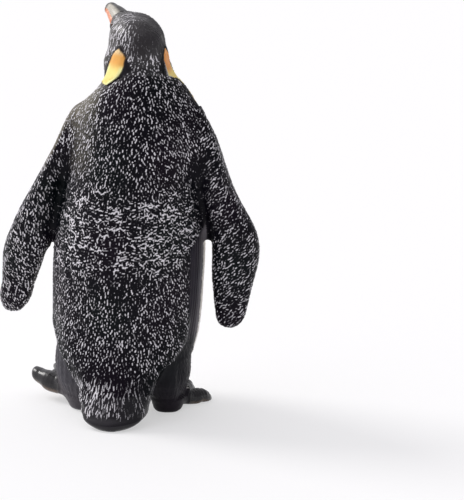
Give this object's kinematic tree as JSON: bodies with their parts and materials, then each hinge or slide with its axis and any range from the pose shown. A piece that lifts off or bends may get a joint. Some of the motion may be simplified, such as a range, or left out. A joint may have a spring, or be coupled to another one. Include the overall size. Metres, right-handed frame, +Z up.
{
  "type": "penguin figurine",
  "caption": "Standing penguin figurine of moulded vinyl with a dark feathered back, pale belly, coloured ear patches, hanging flippers, a turned and raised head and a propping tail.",
  "frame": {"origin": "on the ground, under the middle of the bird's bounding box", "axes": "+Z up, the bird faces -Y, its left side is +X"},
  "size_m": [0.045, 0.029, 0.0683],
  "materials": {
    "dark_plumage": "satin paint, dry-brushed white",
    "pale_plumage": "satin paint",
    "dark_horn": "satin paint",
    "orange_horn": "satin paint",
    "eye": "gloss",
    "ear_patch": "satin paint",
    "foot_skin": "satin paint"
  },
  "bodies": {
    "root": {"back_shell": "dark_plumage", "belly_shell": "pale_plumage", "head": "dark_plumage", "upper_beak": "dark_horn", "lower_beak": "orange_horn", "left_eye": "eye", "right_eye": "eye", "left_ear_patch": "ear_patch", "right_ear_patch": "ear_patch", "left_flipper": "dark_plumage", "right_flipper": "dark_plumage", "left_leg": "dark_plumage", "right_leg": "dark_plumage", "left_foot": "foot_skin", "right_foot": "foot_skin", "tail": "dark_plumage"}
  },
  "joints": []
}
